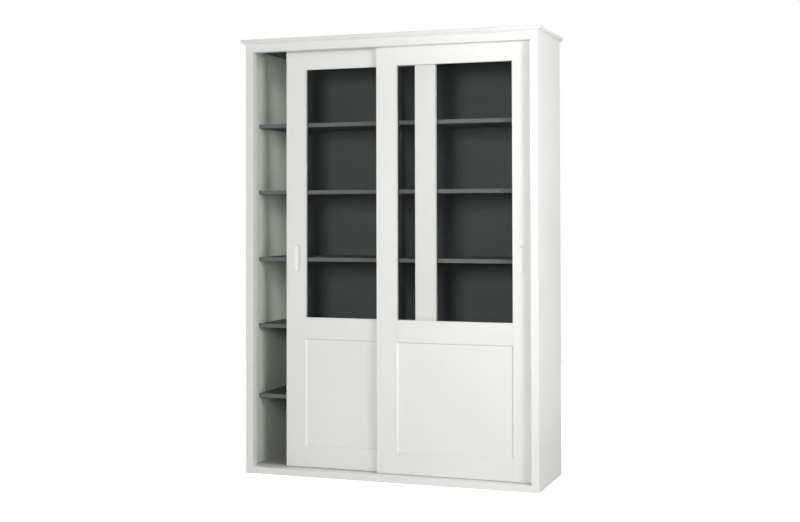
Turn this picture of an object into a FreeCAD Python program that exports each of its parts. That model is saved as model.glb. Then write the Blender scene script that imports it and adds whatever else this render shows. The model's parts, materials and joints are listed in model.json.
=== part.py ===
# Tall bookcase with a front frame, a mitred cornice and two bypass sliding doors.
# Millimetres, +Z up, X across the front, the front faces -Y. The origin is on the floor
# under the middle of the whole object, cornice included.
import FreeCAD, Part
import Sketcher
import math
import os

doc = FreeCAD.newDocument("sliding_door_bookcase")
sheet = doc.addObject("Spreadsheet::Sheet", "sizes")

driving_dimensions = [
    ("body_width", 1460, "across the outer faces of the side panels"),
    ("body_depth", 440, "front face of the frame to the rear edge of the sides"),
    ("total_height", 2100, "floor to the top of the cornice board"),
    ("cornice_overhang", 20, "cornice board past the frame and the sides"),
    ("cornice_board_thickness", 15, "flat board on top"),
    ("cornice_round", 3, "rounding of the cornice board's edge"),
    ("cove_height", 14, "moulding under the cornice board"),
    ("cove_reach", 12, "how far the moulding stands out"),
    ("cove_radius", 10, "hollow of the moulding"),
    ("side_thickness", 19, "side panels"),
    ("frame_thickness", 20, "front frame, front to back"),
    ("frame_stile_width", 36, "upright of the front frame"),
    ("frame_base_height", 32, "base rail, and so the floor of the inside"),
    ("frame_head_height", 45, "head rail of the front frame"),
    ("jamb_depth", 23, "jamb strips and head board behind the frame"),
    ("board_thickness", 19, "bottom, sill and partition"),
    ("top_panel_thickness", 32, "top panel, under the cornice board"),
    ("back_thickness", 5, "back panels"),
    ("back_rebate", 9, "how far the back panels reach into the sides"),
    ("back_joint", 1, "gap between the two back panels"),
    ("bearer_width", 60, "batten under the middle of the bottom"),
    ("rear_base_thickness", 19, "rear base rail, front to back"),
    ("shelf_thickness", 19, "shelves"),
    ("shelf_side_clearance", 1, "shelf end to side panel or partition"),
    ("shelf_back_clearance", 1, "shelf to back panel"),
    ("shelf_setback", 13, "rear door to the front edge of the shelves"),
    ("shelf_lowest_top", 371, "upper face of the lowest shelf"),
    ("shelf_second_top", 714, "upper face of the second shelf"),
    ("shelf_last_room", 358, "top face of the highest shelf to the top panel"),
    ("pin_diameter", 5, "shelf pin"),
    ("pin_bore_clearance", 0.1, "all round the pin in its bore"),
    ("pin_bore_depth", 9.5, "bore for a shelf pin"),
    ("pin_tongue_length", 9, "tongue of a pin, under the shelf"),
    ("pin_tongue_width", 8, "tongue of a pin, front to back"),
    ("pin_edge_distance", 40, "pin centre to the front or rear edge of the shelf"),
    ("door_thickness", 20, "doors"),
    ("door_front_gap", 2, "jamb strip to the front door"),
    ("door_gap", 4, "between the two doors"),
    ("door_overlap", 134, "how far the closed doors overlap"),
    ("door_floor_gap", 2, "sill to the doors"),
    ("door_top_gap", 7, "doors to the top panel"),
    ("door_end_gap", 11, "closed door to the side panel"),
    ("door_open", 154, "how far the rear door stands open"),
    ("door_stile_width", 102, "uprights of the doors"),
    ("door_top_rail", 94, "top rail of the doors"),
    ("door_mid_rail", 102, "middle rail of the doors"),
    ("door_bottom_rail", 100, "bottom rail of the doors"),
    ("lower_opening_height", 517, "opening of the lower panel"),
    ("joint_chamfer", 0.8, "small chamfer along joints and edges"),
    ("tenon_length", 20, "tenons of the rails"),
    ("tenon_thickness", 6, "tenons of the rails"),
    ("tenon_margin", 5, "tenon to the nearest groove, rebate or seat"),
    ("tenon_clearance", 0.2, "mortise round its tenon"),
    ("panel_thickness", 6, "lower panel"),
    ("panel_recess", 7, "face of the door to the face of the panel"),
    ("groove_depth", 9, "groove that holds the panel"),
    ("groove_clearance", 0.1, "groove to each face of the panel"),
    ("edge_clearance", 1, "panel or glass to the side and top of its seat"),
    ("glass_thickness", 4, "glass"),
    ("glass_recess", 12, "face of the door to the glass"),
    ("rebate_depth", 8, "rebate that holds the glass and its beads"),
    ("pull_width", 24, "finger pull"),
    ("pull_length", 130, "finger pull"),
    ("pull_depth", 12, "finger pull"),
    ("pull_round", 1.5, "rounding of the rim of the finger pull"),
    ("pull_edge_distance", 60, "outer edge of the door to the middle of the pull"),
    ("pull_height", 1006, "bottom of the door to the middle of the pull"),
    ("carrier_cheek", 2, "wall of a roller carrier beside the roller"),
    ("carrier_roof", 2, "wall of a roller carrier over the roller"),
    ("carrier_end", 12, "block at each end of a roller carrier"),
    ("carrier_fit", 0.2, "mortise round a carrier or a guide"),
    ("roller_radius", 13, "roller"),
    ("roller_width", 5, "roller"),
    ("roller_side_clearance", 0.3, "roller to its carrier"),
    ("roller_room", 2, "rim of the roller to its carrier"),
    ("roller_floor_clearance", 0.3, "roller to the track"),
    ("axle_radius", 2, "axle of a roller"),
    ("axle_clearance", 0.05, "running fit of the roller on its axle"),
    ("track_clearance", 0.5, "roller or guide to each wall of its track"),
    ("track_height", 8, "track channel, outside"),
    ("track_wall", 1, "track channel"),
    ("track_fit", 0.1, "groove to each side of a track channel"),
    ("guide_length", 40, "top guide"),
    ("guide_plug_width", 8, "part of the guide inside the door"),
    ("guide_plug_height", 12, "part of the guide inside the door"),
    ("guide_roof_clearance", 1.5, "guide to the bottom of the upper track"),
    ("stop_clearance", 0.3, "closed door's guide to its rubber stop"),
    ("stop_fit", 0.1, "rubber stop to each wall of the upper track"),
]

for row, (alias, size, meaning) in enumerate(driving_dimensions, start=1):
    sheet.set(f"A{row}", meaning)
    sheet.set(f"B{row}", str(size))
    sheet.setAlias(f"B{row}", alias)
doc.recompute()

nodes = []
cuts = []
in_plane = 1e-5  # mm, how near to a plane counts as in it
smallest_cut = 1  # mm3, a pocket that removes less has missed the solid
shank_sides = 8


def number(expression):
    # present value of an expression on the sheet
    result = sheet.evalExpression(expression)
    return float(getattr(result, "Value", result))


# ---- places that several pieces share, each an expression on the sheet ----
half_width = "(sizes.body_width / 2)"
inner_x = "(sizes.body_width / 2 - sizes.side_thickness)"
inner_width = "(sizes.body_width - 2 * sizes.side_thickness)"
frame_inner_x = "(sizes.body_width / 2 - sizes.frame_stile_width)"
frame_y = "((sizes.cornice_overhang - sizes.body_depth) / 2)"
jamb_y = f"({frame_y} + sizes.frame_thickness)"
top_panel_y = f"({jamb_y} + sizes.jamb_depth)"
front_door_y = f"({top_panel_y} + sizes.door_front_gap)"
rear_door_y = f"({front_door_y} + sizes.door_thickness + sizes.door_gap)"
track_zone_end_y = f"({rear_door_y} + sizes.door_thickness + sizes.door_front_gap)"
shelf_y = f"({rear_door_y} + sizes.door_thickness + sizes.shelf_setback)"
body_back_y = f"({frame_y} + sizes.body_depth)"
back_y = f"({body_back_y} - sizes.back_thickness)"
floor_z = "sizes.frame_base_height"
bottom_z = "(sizes.frame_base_height - sizes.board_thickness)"
body_top_z = "(sizes.total_height - sizes.cornice_board_thickness)"
cove_z = f"({body_top_z} - sizes.cove_height)"
frame_head_z = f"({body_top_z} - sizes.frame_head_height)"
top_underside = f"({body_top_z} - sizes.top_panel_thickness)"
door_z = "(sizes.frame_base_height + sizes.door_floor_gap)"
closed_edge_x = f"({inner_x} - sizes.door_end_gap)"
partition_x = "(sizes.board_thickness / 2)"
bay_width = f"({inner_x} - {partition_x})"
shelf_depth = f"({back_y} - {shelf_y} - sizes.shelf_back_clearance)"
shelf_width = f"({bay_width} - 2 * sizes.shelf_side_clearance)"

# one door: its outside, then places measured from its lower corner
door_width = f"({inner_x} - sizes.door_end_gap + sizes.door_overlap / 2)"
door_height = f"({top_underside} - sizes.door_top_gap - {door_z})"
stile_middle = "(sizes.door_stile_width / 2)"
mid_rail_low = "(sizes.door_bottom_rail + sizes.lower_opening_height)"
window_low = f"({mid_rail_low} + sizes.door_mid_rail)"
window_high = f"({door_height} - sizes.door_top_rail)"
door_opening_width = f"({door_width} - 2 * sizes.door_stile_width)"
door_middle_y = "(sizes.door_thickness / 2)"

# the running gear
roller_z = ("(sizes.frame_base_height - sizes.track_height + sizes.track_wall"
            " + sizes.roller_floor_clearance + sizes.roller_radius)")
roller_slot = "(sizes.roller_radius + sizes.roller_room)"
carrier_length = f"(2 * ({roller_slot} + sizes.carrier_end))"
carrier_slot_width = "(sizes.roller_width + 2 * sizes.roller_side_clearance)"
carrier_width = f"({carrier_slot_width} + 2 * sizes.carrier_cheek)"
carrier_slot_height = f"({roller_z} + {roller_slot} - {door_z})"
carrier_height = f"({carrier_slot_height} + sizes.carrier_roof)"
track_inside = "(sizes.roller_width + 2 * sizes.track_clearance)"
track_width = f"({track_inside} + 2 * sizes.track_wall)"
track_inside_height = "(sizes.track_height - sizes.track_wall)"
tongue_width = f"({track_inside} - 2 * sizes.track_clearance)"
tongue_height = f"(sizes.door_top_gap + {track_inside_height} - sizes.guide_roof_clearance)"


# ---- building blocks ----
def new_body(label, corner, is_node=True):
    body = doc.addObject("PartDesign::Body", label)
    body.Label = label
    place(body, corner)
    if is_node:
        nodes.append(body)
    return body


def place(thing, corner):
    for axis, expression in zip("xyz", corner):
        thing.setExpression(f"Placement.Base.{axis}", expression)


def new_sketch(body, role="XY_Plane", offset=None):
    # the sketch plane stands off the body's own plane by offset, along the plane's normal
    sketch = body.newObject("Sketcher::SketchObject", f"{body.Name}_sketch")
    plane = next(item for item in body.Origin.OriginFeatures if item.Role == role)
    sketch.AttachmentSupport = [(plane, "")]
    sketch.MapMode = "FlatFace"
    if offset is not None:
        sketch.setExpression("AttachmentOffset.Base.z", offset)
    return sketch


def fix(sketch, kind, places, expression):
    # a dimension whose value is an expression on the sheet
    index = sketch.addConstraint(Sketcher.Constraint(kind, *places, number(expression)))
    sketch.setExpression(f"Constraints[{index}]", expression)


def polygon(sketch, points):
    # closed outline whose corners are pairs of expressions
    places = [FreeCAD.Vector(number(u), number(v), 0) for u, v in points]
    first = sketch.GeometryCount
    count = len(points)
    for i in range(count):
        sketch.addGeometry(Part.LineSegment(places[i], places[(i + 1) % count]), False)
    for i in range(count):
        joined = (first + i, 2, first + (i + 1) % count, 1)
        sketch.addConstraint(Sketcher.Constraint("Coincident", *joined))
    for i, (u, v) in enumerate(points):
        fix(sketch, "DistanceX", (-1, 1, first + i, 1), u)
        fix(sketch, "DistanceY", (-1, 1, first + i, 1), v)


def rectangle(sketch, left, low, width, height):
    right = f"({left} + {width})"
    high = f"({low} + {height})"
    polygon(sketch, [(left, low), (right, low), (right, high), (left, high)])


def circle(sketch, u, v, radius):
    centre = FreeCAD.Vector(number(u), number(v), 0)
    up = FreeCAD.Vector(0, 0, 1)
    index = sketch.addGeometry(Part.Circle(centre, up, number(radius)), False)
    fix(sketch, "DistanceX", (-1, 1, index, 3), u)
    fix(sketch, "DistanceY", (-1, 1, index, 3), v)
    fix(sketch, "Radius", (index,), radius)


def pad(body, sketch, length, backwards=False):
    feature = body.newObject("PartDesign::Pad", f"{body.Name}_pad")
    feature.Profile = sketch
    feature.setExpression("Length", length)
    feature.Reversed = backwards


def pocket(body, sketch, depth, backwards=False):
    feature = body.newObject("PartDesign::Pocket", f"{body.Name}_pocket")
    feature.Profile = sketch
    feature.Reversed = backwards
    feature.setExpression("Length", depth)
    cuts.append(feature)


def board(label, size, corner, is_node=True):
    # rectangular board with its lowest corner at the given place
    body = new_body(label, corner, is_node)
    sketch = new_sketch(body)
    rectangle(sketch, "0", "0", size[0], size[1])
    pad(body, sketch, size[2])
    return body


def edges_at(shape, **levels):
    # names of the edges that lie wholly in the given planes, such as y=0
    names = []
    for index, edge in enumerate(shape.Edges, start=1):
        spots = [vertex.Point for vertex in edge.Vertexes] + [edge.CenterOfMass]
        offsets = [getattr(spot, axis) - level for spot in spots for axis, level in levels.items()]
        if max(map(abs, offsets)) < in_plane:
            names.append(f"Edge{index}")
    return names


def ease(body, picks, size, kind="Chamfer"):
    # chamfer or fillet on the edges that picks(shape) names
    doc.recompute([body])
    base = body.Tip
    feature = body.newObject(f"PartDesign::{kind}", f"{body.Name}_{kind.lower()}")
    feature.Base = (base, picks(base.Shape))
    feature.setExpression("Size" if kind == "Chamfer" else "Radius", size)


def upright_front_edges(shape, width):
    # both long edges of a stile's face
    return edges_at(shape, x=0, y=0) + edges_at(shape, x=number(width), y=0)


def shelf_front_edges(shape):
    return edges_at(shape, y=0, z=0) + edges_at(shape, y=0, z=number("sizes.shelf_thickness"))


def group(label, members):
    # several separate solids that make one sub-part
    compound = doc.addObject("Part::Compound", label)
    compound.Label = label
    compound.Links = members
    nodes.append(compound)


def box(label, size, corner):
    solid = doc.addObject("Part::Box", label)
    for name, expression in zip(("Length", "Width", "Height"), size):
        solid.setExpression(name, expression)
    place(solid, corner)
    return solid


# ---- shelves: heights and pins ----
shelf_count = 5
shelf_levels = range(1, shelf_count + 1)
shelf_pitch = (f"(({top_underside} - sizes.shelf_last_room - sizes.shelf_second_top)"
               f" / {shelf_count - 2})")


def shelf_top(level):
    # the lowest shelf has its own height, the others are evenly spaced
    if level == 1:
        return "sizes.shelf_lowest_top"
    return f"(sizes.shelf_second_top + {level - 2} * {shelf_pitch})"


pin_rows = [f"({shelf_y} + sizes.pin_edge_distance)",
            f"({shelf_y} + {shelf_depth} - sizes.pin_edge_distance)"]
pin_bore_radius = "(sizes.pin_diameter / 2 + sizes.pin_bore_clearance)"


def pin_centre_z(level):
    return f"({shelf_top(level)} - sizes.shelf_thickness - sizes.pin_diameter / 2)"


def pin_bores(body, face_offset, depth, backwards, corner_y, corner_z):
    # bores for the shelf pins in an upright panel
    sketch = new_sketch(body, "YZ_Plane", face_offset)
    for level in shelf_levels:
        for row in pin_rows:
            across = f"({row} - {corner_y})"
            up = f"({pin_centre_z(level)} - {corner_z})"
            circle(sketch, across, up, pin_bore_radius)
    pocket(body, sketch, depth, backwards)


def shelf_pin(label, wall_x, row, level, direction, shank):
    # faceted shank in the panel, and a tongue on the same axis that carries the shelf
    radius = "(sizes.pin_diameter / 2)"
    rod = doc.addObject("Part::Prism", f"{label}_shank")
    rod.Polygon = shank_sides
    rod.setExpression("Circumradius", radius)
    rod.setExpression("Height", shank)
    rod.Placement = FreeCAD.Placement(FreeCAD.Vector(), FreeCAD.Rotation(0, 90, 0))
    from_left = direction > 0
    place(rod, (f"({wall_x} - {shank})" if from_left else wall_x, row, pin_centre_z(level)))
    reach = "sizes.pin_tongue_length"
    tongue = box(f"{label}_tongue", (reach, "sizes.pin_tongue_width", "sizes.pin_diameter"),
                 (wall_x if from_left else f"({wall_x} - {reach})",
                  f"({row} - sizes.pin_tongue_width / 2)",
                  f"({pin_centre_z(level)} - {radius})"))
    pin = doc.addObject("Part::Fuse", label)
    pin.Base = rod
    pin.Tool = tongue
    return pin


# ---- carcass ----
def make_side(label, corner_x, rebate_x, bore_offset, bores_backwards):
    side_depth = "(sizes.body_depth - sizes.frame_thickness)"
    side = board(label, ("sizes.side_thickness", side_depth, body_top_z),
                 (corner_x, jamb_y, "0"))
    rebate = new_sketch(side)
    rectangle(rebate, rebate_x, f"({side_depth} - sizes.back_thickness)",
              "sizes.back_rebate", "sizes.back_thickness")
    pocket(side, rebate, body_top_z, backwards=True)
    pin_bores(side, bore_offset, "sizes.pin_bore_depth", bores_backwards, jamb_y, "0")


make_side("side_panel_left", f"(-{half_width})", "(sizes.side_thickness - sizes.back_rebate)",
          "sizes.side_thickness", False)
make_side("side_panel_right", inner_x, "0", "0", True)

board("bottom_panel", (inner_width, f"({back_y} - {track_zone_end_y})", "sizes.board_thickness"),
      (f"(-{inner_x})", track_zone_end_y, bottom_z))

track_rows = {"front": f"({front_door_y} + {door_middle_y})",
              "rear": f"({rear_door_y} + {door_middle_y})"}
groove_width = f"({track_width} + 2 * sizes.track_fit)"


def cut_track_grooves(body, corner_y, offset, backwards):
    sketch = new_sketch(body, "XY_Plane", offset)
    for row in track_rows.values():
        low = f"({row} - {groove_width} / 2 - {corner_y})"
        rectangle(sketch, "0", low, inner_width, groove_width)
    pocket(body, sketch, "sizes.track_height", backwards)


sill = board("sill_board", (inner_width, f"({track_zone_end_y} - {jamb_y})",
                            "sizes.board_thickness"),
             (f"(-{inner_x})", jamb_y, bottom_z))
cut_track_grooves(sill, jamb_y, "sizes.board_thickness", False)
ease(sill, lambda shape: edges_at(shape, y=0, z=number("sizes.board_thickness")),
     "sizes.joint_chamfer")

top_panel = board("top_panel", (inner_width, f"({back_y} - {top_panel_y})",
                                "sizes.top_panel_thickness"),
                  (f"(-{inner_x})", top_panel_y, top_underside))
cut_track_grooves(top_panel, top_panel_y, None, True)

board("head_board", (inner_width, "sizes.jamb_depth", "sizes.frame_head_height"),
      (f"(-{inner_x})", jamb_y, frame_head_z))

partition = board("centre_partition",
                  ("sizes.board_thickness", f"({back_y} - {shelf_y})",
                   f"({top_underside} - {floor_z})"),
                  (f"(-{partition_x})", shelf_y, floor_z))
pin_bores(partition, "sizes.board_thickness", "sizes.board_thickness", False, shelf_y, floor_z)

board("base_rail_back", (inner_width, "sizes.rear_base_thickness", bottom_z),
      (f"(-{inner_x})", f"({back_y} - sizes.rear_base_thickness)", "0"))
board("base_bearer_centre",
      ("sizes.bearer_width", f"({back_y} - sizes.rear_base_thickness - {jamb_y})", bottom_z),
      ("(-sizes.bearer_width / 2)", jamb_y, "0"))

back_width = (f"({inner_x} + sizes.back_rebate - sizes.edge_clearance"
              " - sizes.back_joint / 2)")
for side_name, corner_x in (("left", f"(-{back_width} - sizes.back_joint / 2)"),
                            ("right", "(sizes.back_joint / 2)")):
    board(f"back_panel_{side_name}",
          (back_width, "sizes.back_thickness", f"({body_top_z} - {bottom_z})"),
          (corner_x, back_y, bottom_z))

# ---- front frame, and the strips behind it ----
for side_name, frame_x, jamb_x in (("left", f"(-{half_width})", f"(-{inner_x})"),
                                   ("right", frame_inner_x, frame_inner_x)):
    stile = board(f"frame_stile_{side_name}",
                  ("sizes.frame_stile_width", "sizes.frame_thickness", body_top_z),
                  (frame_x, frame_y, "0"))
    ease(stile, lambda shape: upright_front_edges(shape, "sizes.frame_stile_width"),
         "sizes.joint_chamfer")
    board(f"jamb_strip_{side_name}",
          (f"({inner_x} - {frame_inner_x})", "sizes.jamb_depth", f"({frame_head_z} - {floor_z})"),
          (jamb_x, jamb_y, floor_z))

for label, low, height in (
        ("frame_base_rail", "0", floor_z),
        ("frame_head_rail", frame_head_z, "sizes.frame_head_height")):
    rail = board(label, (f"(2 * {frame_inner_x})", "sizes.frame_thickness", height),
                 (f"(-{frame_inner_x})", frame_y, low))
    ease(rail, lambda shape: edges_at(shape, y=0), "sizes.joint_chamfer")

# ---- cornice ----
cornice_width = "(sizes.body_width + 2 * sizes.cornice_overhang)"
cornice_depth = "(sizes.body_depth + sizes.cornice_overhang)"
cornice = board("cornice_board", (cornice_width, cornice_depth, "sizes.cornice_board_thickness"),
                (f"(-{cornice_width} / 2)", f"({frame_y} - sizes.cornice_overhang)", body_top_z))


def cornice_rim(shape):
    # upper and lower edges of the front and of both ends
    names = []
    for z in (0, number("sizes.cornice_board_thickness")):
        for side in ({"y": 0}, {"x": 0}, {"x": number(cornice_width)}):
            names += edges_at(shape, z=z, **side)
    return names


ease(cornice, cornice_rim, "sizes.cornice_round", "Fillet")


def make_cove(label, corner, role, profile_left, hollow_u, length, start, mitres):
    # strip with a quarter-round hollow in its lower outer corner and mitred at the ends
    body = new_body(label, corner)
    profile = new_sketch(body, role, start)
    rectangle(profile, profile_left, "0", "sizes.cove_reach", "sizes.cove_height")
    pad(body, profile, length)
    hollow = new_sketch(body, role, start)
    circle(hollow, hollow_u, "0", "sizes.cove_radius")
    pocket(body, hollow, length, backwards=True)
    mitre = new_sketch(body)
    for triangle in mitres:
        polygon(mitre, triangle)
    pocket(body, mitre, "sizes.cove_height", backwards=True)


reach = "sizes.cove_reach"
cove_front_length = f"(sizes.body_width + 2 * {reach})"
cove_side_length = f"(sizes.body_depth + {reach})"
make_cove("cornice_cove_front", (f"(-{half_width} - {reach})", f"({frame_y} - {reach})", cove_z),
          "YZ_Plane", "0", "0", cove_front_length, "0",
          [[("0", "0"), (reach, reach), ("0", reach)],
           [(cove_front_length, "0"), (cove_front_length, reach),
            (f"({cove_front_length} - {reach})", reach)]])
# the plane of X and Z looks along -Y, so the strip starts at its far end and comes forward
make_cove("cornice_cove_right", (half_width, f"({frame_y} - {reach})", cove_z),
          "XZ_Plane", "0", reach, cove_side_length, f"(-{cove_side_length})",
          [[("0", "0"), (reach, "0"), ("0", reach)]])
make_cove("cornice_cove_left", (f"(-{half_width} - {reach})", f"({frame_y} - {reach})", cove_z),
          "XZ_Plane", "0", "0", cove_side_length, f"(-{cove_side_length})",
          [[("0", "0"), (reach, "0"), (reach, reach)]])

# ---- shelves ----
for bay_name, bay_x in (("left", f"(-{inner_x})"), ("right", partition_x)):
    for level in shelf_levels:
        shelf = board(f"shelf_{bay_name}_{level}",
                      (shelf_width, shelf_depth, "sizes.shelf_thickness"),
                      (f"({bay_x} + sizes.shelf_side_clearance)", shelf_y,
                       f"({shelf_top(level)} - sizes.shelf_thickness)"))
        ease(shelf, shelf_front_edges, "sizes.joint_chamfer")

side_shank = "(sizes.pin_bore_depth - sizes.pin_bore_clearance)"
partition_shank = f"({partition_x} - sizes.pin_bore_clearance)"
pin_walls = (("left", f"(-{inner_x})", 1, side_shank),
             ("centre_left", f"(-{partition_x})", -1, partition_shank),
             ("centre_right", partition_x, 1, partition_shank),
             ("right", inner_x, -1, side_shank))
pins = []
for level in shelf_levels:
    for wall_name, wall_x, direction, shank in pin_walls:
        for end, row in zip(("front", "rear"), pin_rows):
            pins.append(shelf_pin(f"pin_{wall_name}_{end}_{level}", wall_x, row, level,
                                  direction, shank))
group("shelf_pins", pins)


# ---- tracks ----
def channel(label, row, low, opens_up):
    # U-shaped strip along the whole inside width
    body = new_body(label, (f"(-{inner_x})", f"({row} - {track_width} / 2)", low), False)
    outline = new_sketch(body, "YZ_Plane")
    rectangle(outline, "0", "0", track_width, "sizes.track_height")
    pad(body, outline, inner_width)
    hollow = new_sketch(body, "YZ_Plane")
    rectangle(hollow, "sizes.track_wall", "sizes.track_wall" if opens_up else "0",
              track_inside, track_inside_height)
    pocket(body, hollow, inner_width, backwards=True)
    return body


lower_track_z = f"({floor_z} - sizes.track_height)"
group("lower_track", [channel(f"lower_channel_{name}", row, lower_track_z, True)
                      for name, row in track_rows.items()])
group("upper_track", [channel(f"upper_channel_{name}", row, top_underside, False)
                      for name, row in track_rows.items()])

# rubber blocks in the ends of the upper track, which the guides of the doors meet
guide_end = f"({stile_middle} - sizes.guide_length / 2)"
stop_length = f"(sizes.door_end_gap + {guide_end} - sizes.stop_clearance)"
stop_width = f"({track_inside} - 2 * sizes.stop_fit)"
stops = []
for name, row in track_rows.items():
    for end, stop_x in (("left", f"(-{inner_x})"), ("right", f"({inner_x} - {stop_length})")):
        stops.append(box(f"stop_{name}_{end}", (stop_length, stop_width, track_inside_height),
                         (stop_x, f"({row} - {stop_width} / 2)", top_underside)))
group("track_stops", stops)


# ---- doors ----
tenon_y = f"({door_middle_y} - sizes.tenon_thickness / 2)"
by_groove = "(sizes.groove_depth + sizes.tenon_margin)"
by_rebate = "(sizes.rebate_depth + sizes.tenon_margin)"
by_carrier = f"({carrier_height} + sizes.tenon_margin)"
by_guide = "(sizes.guide_plug_height + sizes.tenon_margin)"
rails = {
    "bottom_rail": {"low": "0", "height": "sizes.door_bottom_rail",
                    "under_tenon": by_carrier, "over_tenon": by_groove,
                    "groove_at": "(sizes.door_bottom_rail - sizes.groove_depth)",
                    "rebate_at": None},
    "mid_rail": {"low": mid_rail_low, "height": "sizes.door_mid_rail",
                 "under_tenon": by_groove, "over_tenon": by_rebate,
                 "groove_at": "0", "rebate_at": "(sizes.door_mid_rail - sizes.rebate_depth)"},
    "top_rail": {"low": window_high, "height": "sizes.door_top_rail",
                 "under_tenon": by_rebate, "over_tenon": by_guide,
                 "groove_at": None, "rebate_at": "0"},
}


def cut_groove(body, offset, low, height, depth, backwards):
    # slot for the lower panel
    sketch = new_sketch(body, "YZ_Plane", offset)
    rectangle(sketch, "(sizes.panel_recess - sizes.groove_clearance)", low,
              "(sizes.panel_thickness + 2 * sizes.groove_clearance)", height)
    pocket(body, sketch, depth, backwards)


def cut_rebate(body, offset, low, height, depth, backwards):
    # step for the glass and its beads, open to the back
    sketch = new_sketch(body, "YZ_Plane", offset)
    rectangle(sketch, "sizes.glass_recess", low,
              "(sizes.door_thickness - sizes.glass_recess)", height)
    pocket(body, sketch, depth, backwards)


def cut_end_seat(stile, offset, length, width, depth, backwards):
    # mortise in the end of a stile for a roller carrier or a top guide
    long = f"({length} + 2 * sizes.carrier_fit)"
    wide = f"({width} + 2 * sizes.carrier_fit)"
    sketch = new_sketch(stile, "XY_Plane", offset)
    rectangle(sketch, f"({stile_middle} - {long} / 2)", f"({door_middle_y} - {wide} / 2)",
              long, wide)
    pocket(stile, sketch, depth, backwards)


def make_stile(name, side_name, door_x, door_y, has_pull):
    is_left = side_name == "left"
    corner_x = door_x if is_left else f"({door_x} + {door_width} - sizes.door_stile_width)"
    stile = board(f"{name}_stile_{side_name}",
                  ("sizes.door_stile_width", "sizes.door_thickness", door_height),
                  (corner_x, door_y, door_z))
    # the cuts go from the inner edge into the stile
    inner_face = "sizes.door_stile_width" if is_left else "0"
    backwards = not is_left
    mortises = new_sketch(stile, "YZ_Plane", inner_face)
    for rail in rails.values():
        length = f"({rail['height']} - {rail['under_tenon']} - {rail['over_tenon']})"
        rectangle(mortises, f"({tenon_y} - sizes.tenon_clearance)",
                  f"({rail['low']} + {rail['under_tenon']} - sizes.tenon_clearance)",
                  "(sizes.tenon_thickness + 2 * sizes.tenon_clearance)",
                  f"({length} + 2 * sizes.tenon_clearance)")
    pocket(stile, mortises, "(sizes.tenon_length + sizes.edge_clearance)", backwards)
    cut_groove(stile, inner_face, "(sizes.door_bottom_rail - sizes.groove_depth)",
               "(sizes.lower_opening_height + 2 * sizes.groove_depth)",
               "sizes.groove_depth", backwards)
    cut_rebate(stile, inner_face, f"({window_low} - sizes.rebate_depth)",
               f"({window_high} - {window_low} + 2 * sizes.rebate_depth)",
               "sizes.rebate_depth", backwards)
    cut_end_seat(stile, None, carrier_length, carrier_width, carrier_height, True)
    cut_end_seat(stile, door_height, "sizes.guide_length", "sizes.guide_plug_width",
                 "sizes.guide_plug_height", False)
    ease(stile, lambda shape: upright_front_edges(shape, "sizes.door_stile_width"),
         "sizes.joint_chamfer")
    if has_pull:
        cut_finger_pull(stile, is_left)


def cut_finger_pull(stile, is_left):
    # slot with round ends and an eased rim, milled into the face
    outer = "sizes.pull_edge_distance"
    middle_x = outer if is_left else f"(sizes.door_stile_width - {outer})"
    radius = "(sizes.pull_width / 2)"
    half_run = "((sizes.pull_length - sizes.pull_width) / 2)"
    low = f"(sizes.pull_height - {half_run})"
    high = f"(sizes.pull_height + {half_run})"
    up = FreeCAD.Vector(0, 0, 1)
    across = FreeCAD.Vector(number(radius), 0, 0)
    lower, upper = (FreeCAD.Vector(number(middle_x), number(level), 0) for level in (low, high))
    lower_circle = Part.Circle(lower, up, number(radius))
    upper_circle = Part.Circle(upper, up, number(radius))
    sketch = new_sketch(stile, "XZ_Plane")
    sketch.addGeometry([Part.ArcOfCircle(lower_circle, math.pi, 2 * math.pi),
                        Part.LineSegment(lower + across, upper + across),
                        Part.ArcOfCircle(upper_circle, 0, math.pi),
                        Part.LineSegment(upper - across, lower - across)], False)
    for i in range(4):
        sketch.addConstraint(Sketcher.Constraint("Tangent", i, 2, (i + 1) % 4, 1))
    fix(sketch, "Radius", (0,), radius)
    for arc, level in ((0, low), (2, high)):
        fix(sketch, "DistanceX", (-1, 1, arc, 3), middle_x)
        fix(sketch, "DistanceY", (-1, 1, arc, 3), level)
    pocket(stile, sketch, "sizes.pull_depth")

    def rim(shape):
        # of the edges in the face, those round the slot lie off the stile's own edges
        centre = (lower + upper) / 2
        names = []
        for name in edges_at(shape, y=0):
            middle = shape.getElement(name).CenterOfMass
            off_centre = abs(middle.x - centre.x) + abs(middle.z - centre.y)
            if off_centre < number("sizes.pull_length") / 2:
                names.append(name)
        return names

    ease(stile, rim, "sizes.pull_round", "Fillet")


def make_rail(name, rail_name, door_x, door_y):
    rail = rails[rail_name]
    height = rail["height"]
    body = board(f"{name}_{rail_name}", (door_opening_width, "sizes.door_thickness", height),
                 (f"({door_x} + sizes.door_stile_width)", door_y, f"({door_z} + {rail['low']})"))
    for offset, backwards in ((None, True), (door_opening_width, False)):
        tenon = new_sketch(body, "YZ_Plane", offset)
        rectangle(tenon, tenon_y, rail["under_tenon"], "sizes.tenon_thickness",
                  f"({height} - {rail['under_tenon']} - {rail['over_tenon']})")
        pad(body, tenon, "sizes.tenon_length", backwards)
    if rail["groove_at"] is not None:
        cut_groove(body, None, rail["groove_at"], "sizes.groove_depth", door_opening_width, True)
    if rail["rebate_at"] is not None:
        cut_rebate(body, None, rail["rebate_at"], "sizes.rebate_depth", door_opening_width, True)
    ease(body, lambda shape: edges_at(shape, y=0), "sizes.joint_chamfer")


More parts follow.
